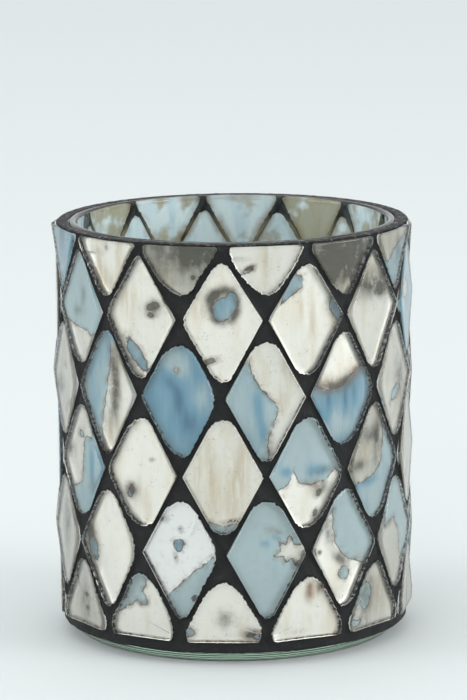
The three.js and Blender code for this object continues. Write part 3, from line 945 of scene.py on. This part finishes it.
tileGlass = {
    "thickness": 3.0,
    "sunk": 0.20,  # the glass's back above the tile's back plane, inside the silvering sheet
    "groutLevel": 2.0,  # up to here the side is in the grout
    "face": 0.06,  # the face below the CAD's
    "round": 0.42,
    "wave": 0.035,
    "streak": 0.05,  # the side's streaks: noise units to a millimetre along it
    "rowStreak": 1.6,  # and up it
    "roughness": 0.03,
    "tint": (0.975, 0.985, 0.975, 1),
    "sideDark": (0.05, 0.05, 0.043, 1),
    "sideBrown": (0.19, 0.17, 0.12, 1),
    # pale streaks of the grouted side, partly ground glass and partly painted highlight
    "sidePaleHighlight": (0.75, 0.79, 0.79, 1),
    "groundTint": (0.94, 0.95, 0.94, 1),
}


def makeTileGlassMaterials():
    g = tileGlass
    clear, tree, skin = newMaterial("tileGlass")
    makeGlassy(skin, g["tint"], g["roughness"])
    coords = addNode(tree, "ShaderNodeTexCoord").outputs["Object"]
    addBump(tree, skin, noiseAt(tree, coords, 160.0, 2.0), 0.12, 0.0004)
    # the side in the grout, dark, with pale streaks that run along it and a pale line at its top: ground
    # glass, and painted highlight lines of the glass edge
    grouted, tree, skin = newMaterial("groutedEdge")
    place = attribute(tree, "sidePlace", "Vector")
    streak = noiseAt(tree, place, 1.6, 1.0)
    broad = noiseAt(tree, place, 0.5, 1.0)
    colour = blendColours(tree, stepBetween(tree, broad, 0.4, 0.6), g["sideDark"], g["sideBrown"])
    pale = calc(tree, "ADD", streak, calc(tree, "MULTIPLY", broad, 0.5))
    height = addNode(tree, "ShaderNodeSeparateXYZ", {0: place}).outputs["Y"]
    # painted highlight: a pale line along the top of the grouted side
    lip = calc(tree, "MULTIPLY", stepBetween(tree, height, 2.5, 3.1), stepBetween(tree, streak, 0.35, 0.6))
    pale = calc(tree, "MAXIMUM", stepBetween(tree, pale, 0.66, 0.9), lip)
    colour = blendColours(tree, pale, colour, g["sidePaleHighlight"])
    tree.links.new(colour, skin.inputs["Base Color"])
    skin.inputs["Roughness"].default_value = 0.5
    # the side above the grout: ground glass
    ground, tree, skin = newMaterial("groundEdge")
    makeGlassy(skin, g["groundTint"])
    coords = addNode(tree, "ShaderNodeTexCoord").outputs["Object"]
    noise = noiseAt(tree, coords, 140.0, 1.0)
    rough = calc(tree, "MULTIPLY", stepBetween(tree, noise, 0.45, 0.75), 0.25)
    tree.links.new(rough, skin.inputs["Roughness"])
    addBump(tree, skin, noise, 0.15, 0.0003)
    return clear, grouted, ground


tileGlassMaterials = makeTileGlassMaterials()


def glassShell(cell):
    # Closed rings of the outline from the back's middle round the side to the face's middle. Each is its
    # points in the tile's plane and their height above the back, and the face has a slight wave.
    g = tileGlass
    line = cell["outline"]
    normals = outlineNormals(line)
    middle = line.mean(0)
    top = g["thickness"] - g["face"]
    r = g["round"]
    turns = np.linspace(0, math.pi / 2, 5)
    side = [(0.1, g["sunk"]), (0.0, g["sunk"] + 0.1), (0.0, 1.1), (0.0, g["groutLevel"])]
    side += [(r - r * math.cos(turn), top - r + r * math.sin(turn)) for turn in turns]
    backLine = line - normals * side[0][0]
    faceLine = line - normals * side[-1][0]
    rings = [(middle + (backLine - middle) * share, g["sunk"]) for share in (0.0001, 0.25, 0.6)]
    rings += [(line - normals * inset, height) for inset, height in side]
    for share in (0.86, 0.66, 0.44, 0.22, 0.0001):
        flat = middle + (faceLine - middle) * share
        wavy = np.sin(flat[:, 0] * 0.45 + cell["seed"]) * np.cos(flat[:, 1] * 0.3 + cell["seed"] * 2)
        rings.append((flat, top - g["wave"] * (1 - wavy * (1 - share**2))))
    count = len(line)
    back = cell["face"] - g["thickness"]
    points = np.vstack([onTile(cell, flat, back + height + flat @ cell["lean"] * np.mean(height) / top)
                        for flat, height in rings])
    quads = stripFaces(count, len(rings))
    bands = np.zeros(len(rings) - 1)
    bands[3:6] = 1  # grouted side
    bands[6:8] = 2  # ground side
    # the streaks' place: along the side, and up it
    run = np.concatenate([[0], np.cumsum(np.hypot(*np.diff(line, axis=0).T))])
    run = np.abs(run - run[-1] / 2) * g["streak"]
    levels = np.repeat([np.mean(height) * g["rowStreak"] for _, height in rings], count)
    seeds = np.full(len(levels), cell["seed"])
    place = np.column_stack([np.tile(run, len(rings)), levels, seeds])
    return points, quads.tolist(), np.repeat(bands, count), place


def makeTile(cell, name, look):
    glass, glassFaces, glassSlots, place = glassShell(cell)
    sheet, sheetFaces, sheetSlots, values = silverSheet(cell, look, len(glass))
    slots = np.concatenate([glassSlots, sheetSlots + len(tileGlassMaterials)])
    smooth = np.repeat([True, False], [len(glassFaces), len(sheetFaces)])
    materials = tileGlassMaterials + (silverMaterial, backMaterial)
    made = makeObject(name, np.vstack([glass, sheet]), glassFaces + sheetFaces, materials, slots, smooth)
    for field, array in values.items():
        addAttribute(made, field, np.concatenate([np.zeros((len(glass),) + array.shape[1:]), array]))
    addAttribute(made, "sidePlace", np.vstack([place, np.zeros((len(sheet), 3))]))
    return made


def makeTiles():
    half = {0: "top", fullRows + 1: "base"}
    for (row, column), cell in sorted(cells.items()):
        draw = np.random.default_rng(100 * row + column)
        cell["seed"] = round(float(draw.uniform(0, 90)), 2)
        cell["lean"] = np.tan(np.radians(draw.uniform(-1, 1, 2) * silvering["tilt"]))
        look = {"backDarkening": draw.uniform(0, 0.5), **drawnLook(draw)}
        if (row, column) in tileLooks:
            look.update({"paint": False, **tileLooks[row, column]})
        if row == 0:
            look["backDarkening"] = darkerBacks.get(column, look["backDarkening"])
        name = f"tile_row{row}_{column:02d}_silvered"
        if row in half:
            name = f"{half[row]}_half_tile_{column:02d}"
        made = makeTile(cell, name, look)
        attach(made, "root")
        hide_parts(cell["node"])


makeTiles()
print("tiles made:", len(cells))


def cellBoundary(cell):
    # The cell's edge in (angle, height), matched point for point with the tile's outline. A cut cell's edge
    # climbs beside the cut in a few points and then runs along it.
    quarter, cut = tileShape["quarter"], tileShape["cutPoints"]

    def slanted(height):
        t = np.linspace(0, 1, quarter + 1)
        return np.column_stack([halfTurn * (1 - t), height * t])

    def square(height):
        climb = np.column_stack([np.full(cut + 1, halfTurn), np.linspace(0, height, cut + 1)])
        along = np.linspace(halfTurn, 0, quarter - cut + 1)[1:]
        return np.vstack([climb, np.column_stack([along, np.full(len(along), height)])])

    level = cell["level"]
    upper = square(grout["rimHeight"] - level) if cell["above"] is None else slanted(cell["above"] - level)
    lower = square(grout["baseHeight"] - level) if cell["below"] is None else slanted(cell["below"] - level)
    flip = np.array([-1, 1])
    line = np.vstack([upper[:-1], (upper * flip)[::-1][:-1], (lower * flip)[:-1], lower[::-1][:-1]])
    return line + np.array([cell["turn"], level])


def groutRise(angle, height):
    return ripple(angle, height, 3, (20, 60, 14), 0.07) + ripple(angle, height, 4, (90, 260, 22), 0.035)


def onCup(angle, height, radius):
    return np.column_stack([radius * np.sin(angle), -radius * np.cos(angle), height])


def makeGroutMesh():
    # Round each tile: a ring on the inner surface at the cell's edge, one where the tile's side meets it,
    # then rings on the outer surface from the tile's side back out to the cell's edge. The grout climbs the
    # side by exp(-gap / climbWidth) and sags by the square of the share of the way.
    g = grout
    radius = g["radius"]
    points, faces, total = [], [], 0
    for cell in cells.values():
        outer = cell["outline"]
        count = len(outer)
        side = np.arcsin(outer[:, 0] / radius) + cell["turn"]
        start = np.column_stack([side, outer[:, 1] + cell["level"]])
        end = cellBoundary(cell)
        away = np.hypot((end[:, 0] - start[:, 0]) * radius, end[:, 1] - start[:, 1])
        rings = [onCup(end[:, 0], end[:, 1], np.full(count, g["inner"])),
                 onTile(cell, outer, np.sqrt(g["inner"] ** 2 - outer[:, 0] ** 2))]
        for share in g["rings"]:
            angle = start[:, 0] + (end[:, 0] - start[:, 0]) * share
            height = start[:, 1] + (end[:, 1] - start[:, 1]) * share
            gap = away * share
            lift = g["climb"] * np.exp(-gap / g["climbWidth"]) * (1 - share) - g["sag"] * share**2
            r = radius + lift + groutRise(angle, height) * min(1.0, 0.4 + share)
            if share == 0:
                rings.append(onTile(cell, outer, np.sqrt(r**2 - outer[:, 0] ** 2)))
            else:
                rings.append(onCup(angle, height, r))
        faces.append(stripFaces(count, len(rings)) + total)
        points += rings
        total += len(rings) * count
    return np.vstack(points), np.vstack(faces)


def makeRimAndBase():
    # Rings round the cup that join the outer and inner surfaces of the grout at the lip and above the foot.
    # Each is a profile of (radius, height) turned round the axis, with the grout's own unevenness: all of
    # it on the first ring, which the tiles' cells share, and none on the last.
    g = grout
    per = 2 * (tileShape["quarter"] - tileShape["cutPoints"])
    count = per * columns
    steps = np.arange(count) * 2 * halfTurn / per
    outer, inner = g["radius"] - g["sag"], g["inner"]
    crown = g["rimTop"] - g["rimHeight"]
    rounding = np.linspace(0, math.pi / 2, 7)
    arch = 0.06 + (crown - 0.06) * np.sin(rounding)
    rimProfile = [(outer, 0.0)]
    rimProfile += list(zip(outer + 0.3 - 0.7 * (1 - np.cos(rounding)), arch))
    rimProfile += [(r, crown - 0.02) for r in np.linspace(outer - 0.7, inner + 0.3, 5)]
    rimProfile += [(inner + 0.06, crown - 0.08), (inner, crown - 0.25)]
    drop = g["baseHeight"] - groutBox[0].z / mm
    baseProfile = [(outer, 0.0)]
    baseProfile += list(zip(outer - 0.7 * (1 - np.cos(rounding[1:])), -drop * np.sin(rounding[1:])))
    baseProfile += [(r, -drop) for r in np.linspace(outer - 1.0, inner + 0.1, 4)]
    strips = []
    ends = ((0, rimProfile, g["rimHeight"]), (fullRows + 1, baseProfile, g["baseHeight"]))
    for row, profile, level in ends:
        angles = cells[row, 1]["turn"] - halfTurn + steps
        shares = [1.0] + [0.6] * (len(profile) - 2) + [0.0]
        rings = []
        for share, (radius, height) in zip(shares, profile):
            rise = groutRise(angles, np.full(count, level + height))
            waver = 0.02 if share == 0.6 and abs(height) > 0.2 else 0.0
            drift = ripple(angles, np.full(count, radius), 8, (30, 160, 16), waver)
            rings.append(onCup(angles, level + height + drift, radius + rise * share))
        rings.append(onCup(angles, np.full(count, level), np.full(count, inner)))
        faces = stripFaces(count, len(rings))
        strips.append((np.vstack(rings), faces if row == 0 else faces[:, ::-1]))
    return strips


def makeGroutMaterial():
    material, tree, skin = newMaterial("sandedGrout")
    g = grout
    coords = addNode(tree, "ShaderNodeTexCoord").outputs["Object"]
    grain = noiseAt(tree, coords, 2600.0, 2.0, 0.7)
    clumps = noiseAt(tree, coords, 420.0, 3.0)
    mixed = calc(tree, "ADD", calc(tree, "MULTIPLY", grain, 0.5), calc(tree, "MULTIPLY", clumps, 0.5))
    colour = blendColours(tree, stepBetween(tree, mixed, 0.48, 0.72), g["dark"], g["dusty"])
    # light chips where the rim is ground level
    height = addNode(tree, "ShaderNodeSeparateXYZ", {0: coords}).outputs["Z"]
    lip = stepBetween(tree, height, (g["rimHeight"] - 0.1) * mm, (g["rimHeight"] + 0.15) * mm)
    flakes = stepBetween(tree, noiseAt(tree, coords, 1100.0, 3.0, 0.65), 0.52, 0.70)
    colour = stained(tree, colour, calc(tree, "MULTIPLY", lip, flakes), 0.7, g["chip"])
    # tarnish on the inner surface, which is seen through the cup
    values = {0: coords, 1: (1, 1, 0)}
    flatPlace = addNode(tree, "ShaderNodeVectorMath", values, operation="MULTIPLY").outputs[0]
    radius = addNode(tree, "ShaderNodeVectorMath", {0: flatPlace}, operation="LENGTH").outputs["Value"]
    outward = stepBetween(tree, radius, (g["inner"] + 0.1) * mm, (g["inner"] + 0.5) * mm)
    patches = stepBetween(tree, noiseAt(tree, coords, 130.0, 2.0), 0.28, 0.5)
    tarnish = calc(tree, "MULTIPLY", calc(tree, "SUBTRACT", 1.0, outward), patches)
    top = stepBetween(tree, height, (cupHeight - 9) * mm, (cupHeight - 4) * mm)
    tarnish = calc(tree, "MULTIPLY", tarnish, calc(tree, "SUBTRACT", 1.0, top))
    colour = blendColours(tree, tarnish, colour, g["innerBrown"])
    tree.links.new(colour, skin.inputs["Base Color"])
    skin.inputs["Roughness"].default_value = 0.62
    skin.inputs["Specular IOR Level"].default_value = 0.22
    addBump(tree, skin, grain, 0.5, 0.00012)
    addBump(tree, skin, clumps, 0.5, 0.0003)
    return material


def makeGrout():
    points, faces = [], []
    shift = 0
    for partPoints, partFaces in [makeGroutMesh()] + makeRimAndBase():
        points.append(partPoints)
        faces.append(partFaces + shift)
        shift += len(partPoints)
    made = makeObject("grout_bed", np.vstack(points), np.vstack(faces).tolist(), [makeGroutMaterial()])
    # the rings of neighbouring cells meet point for point, and become one closed surface
    work = bmesh.new()
    work.from_mesh(made.data)
    bmesh.ops.remove_doubles(work, verts=work.verts, dist=0.00002)
    print("grout: faces", len(work.faces), "open edges", sum(not edge.is_manifold for edge in work.edges))
    bmesh.ops.recalc_face_normals(work, faces=work.faces)
    work.to_mesh(made.data)
    work.free()
    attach(made, "root")
    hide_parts("grout")


makeGrout()
print("grout made")


cup = {
    "wall": 2.0,
    "floor": 5.0,
    "footRadius": 37.6,
    "footRise": 2.6,
    "fillet": 4.0,
    "punt": 0.6,  # rise of the foot's hollow in the middle
    "lip": 0.9,  # height of its rounding
    "segments": 208,
    "tint": (0.99, 1.0, 0.99, 1),
    "passed": (0.26, 0.275, 0.27, 1),  # light that a surface lets through to what is behind it
    "absorb": (0.60, 0.80, 0.66, 1),
    "density": 22.0,
}


def makeCupMaterial():
    material, tree, skin = newMaterial("cupGlass")
    makeGlassy(skin, cup["tint"])
    coords = addNode(tree, "ShaderNodeTexCoord").outputs["Object"]
    addBump(tree, skin, noiseAt(tree, coords, 60.0, 1.0), 0.08, 0.0008)
    # lamps reach the tiles' backs and the floor through the clear glass
    path = addNode(tree, "ShaderNodeLightPath").outputs["Is Shadow Ray"]
    through = addNode(tree, "ShaderNodeBsdfTransparent", {"Color": cup["passed"]})
    surface = addNode(tree, "ShaderNodeMixShader", {0: path, 1: skin.outputs[0], 2: through.outputs[0]})
    result = tree.nodes["Material Output"]
    tree.links.new(surface.outputs[0], result.inputs["Surface"])
    values = {"Color": cup["absorb"], "Density": cup["density"]}
    volume = addNode(tree, "ShaderNodeVolumeAbsorption", values)
    tree.links.new(volume.outputs[0], result.inputs["Volume"])
    return material


def makeCup():
    # A profile of (radius, height) turned round the axis: the foot's rounding, the lip and the fillet are
    # arcs, and the foot's hollow is a parabola.
    c = cup
    inner = cupRadius - c["wall"]
    lipStart = cupHeight - c["lip"]
    a = np.linspace(0, math.pi / 2, 12)
    sine, cosine = np.sin(a), np.cos(a)
    footRadii = c["footRadius"] + (cupRadius - c["footRadius"]) * sine
    foot = np.column_stack([footRadii, c["footRise"] * (1 - cosine)])
    b = np.linspace(0, math.pi, 16)
    lip = np.column_stack([inner + c["wall"] / 2 * (1 + np.cos(b)), lipStart + c["lip"] * np.sin(b)])
    filletRadii = inner - c["fillet"] + c["fillet"] * cosine
    fillet = np.column_stack([filletRadii, c["floor"] + c["fillet"] * (1 - sine)])
    rise = np.linspace(c["footRise"], lipStart, 18)[1:-1]
    outside = np.column_stack([np.full(len(rise), cupRadius), rise])
    inside = np.column_stack([np.full(len(rise), inner), rise[::-1]])
    inside = inside[inside[:, 1] > c["floor"] + c["fillet"] + 1]
    shares = np.array([0.85, 0.6, 0.3])
    under = np.column_stack([c["footRadius"] * shares[::-1], c["punt"] * (1 - shares[::-1] ** 2)])
    ground = np.column_stack([(inner - c["fillet"]) * shares, np.full(3, c["floor"])])
    profile = np.vstack([under, foot, outside, lip, inside, fillet, ground])
    count = c["segments"]
    angle = np.arange(count) * 2 * math.pi / count
    rings = [onCup(angle, np.full(count, z), np.full(count, r)) for r, z in profile]
    middles = np.array([[0, 0, c["punt"]], [0, 0, c["floor"]]])
    points = np.vstack(rings + [middles])
    last = (len(rings) - 1) * count
    faces = stripFaces(count, len(rings)).tolist() + fanFaces(last, count, len(points) - 1).tolist()
    faces += fanFaces(0, count, len(points) - 2)[:, ::-1].tolist()
    made = makeObject("cup_glass", points, faces, [makeCupMaterial()])
    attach(made, "root")
    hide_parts("glass_cup")


makeCup()
print("cup made")
